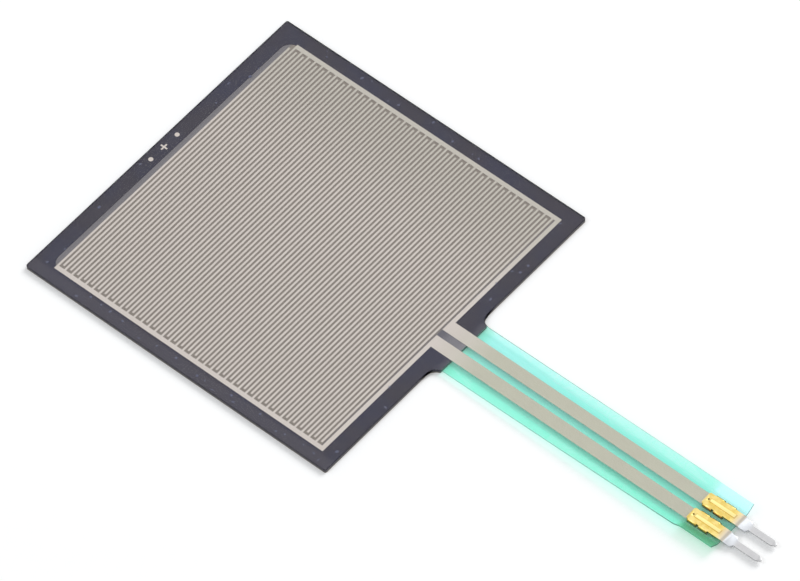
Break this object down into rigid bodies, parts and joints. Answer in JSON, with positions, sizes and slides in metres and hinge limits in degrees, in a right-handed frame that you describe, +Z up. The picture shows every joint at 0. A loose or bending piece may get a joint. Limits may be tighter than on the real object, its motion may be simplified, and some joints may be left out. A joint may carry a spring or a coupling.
{
  "type": "force sensor",
  "caption": "Square force-sensing resistor: interleaved printed combs over carbon ink, a translucent flexible tail and crimped solder pins.",
  "frame": {"origin": "centre of the square pad on its underside", "axes": "+Z up out of the sensing face, +X along the tail towards the pins, +Y across the tail"},
  "size_m": [0.0877, 0.0436, 0.0012],
  "materials": {
    "liner_paper": "siliconised kraft paper, satin",
    "mounting_adhesive": "clear acrylic adhesive",
    "base_polyester": "black polyester film",
    "carbon_ink": "matte carbon ink",
    "spacer_adhesive": "dark acrylic adhesive",
    "silver_ink": "printed silver ink, satin",
    "green_dielectric": "translucent green dielectric ink",
    "clear_polyester": "clear polyester film",
    "plated_contact": "gold-plated crimp, tinned pin"
  },
  "bodies": {
    "root": {"release_liner": "liner_paper", "rear_adhesive": "mounting_adhesive", "base_film": "base_polyester", "carbon_ink": "carbon_ink", "spacer_adhesive": "spacer_adhesive", "electrode_a": "silver_ink", "electrode_b": "silver_ink", "print_marks": "silver_ink", "tail_coat": "green_dielectric", "top_film": "clear_polyester", "contact_a": "plated_contact", "contact_b": "plated_contact"}
  },
  "joints": []
}
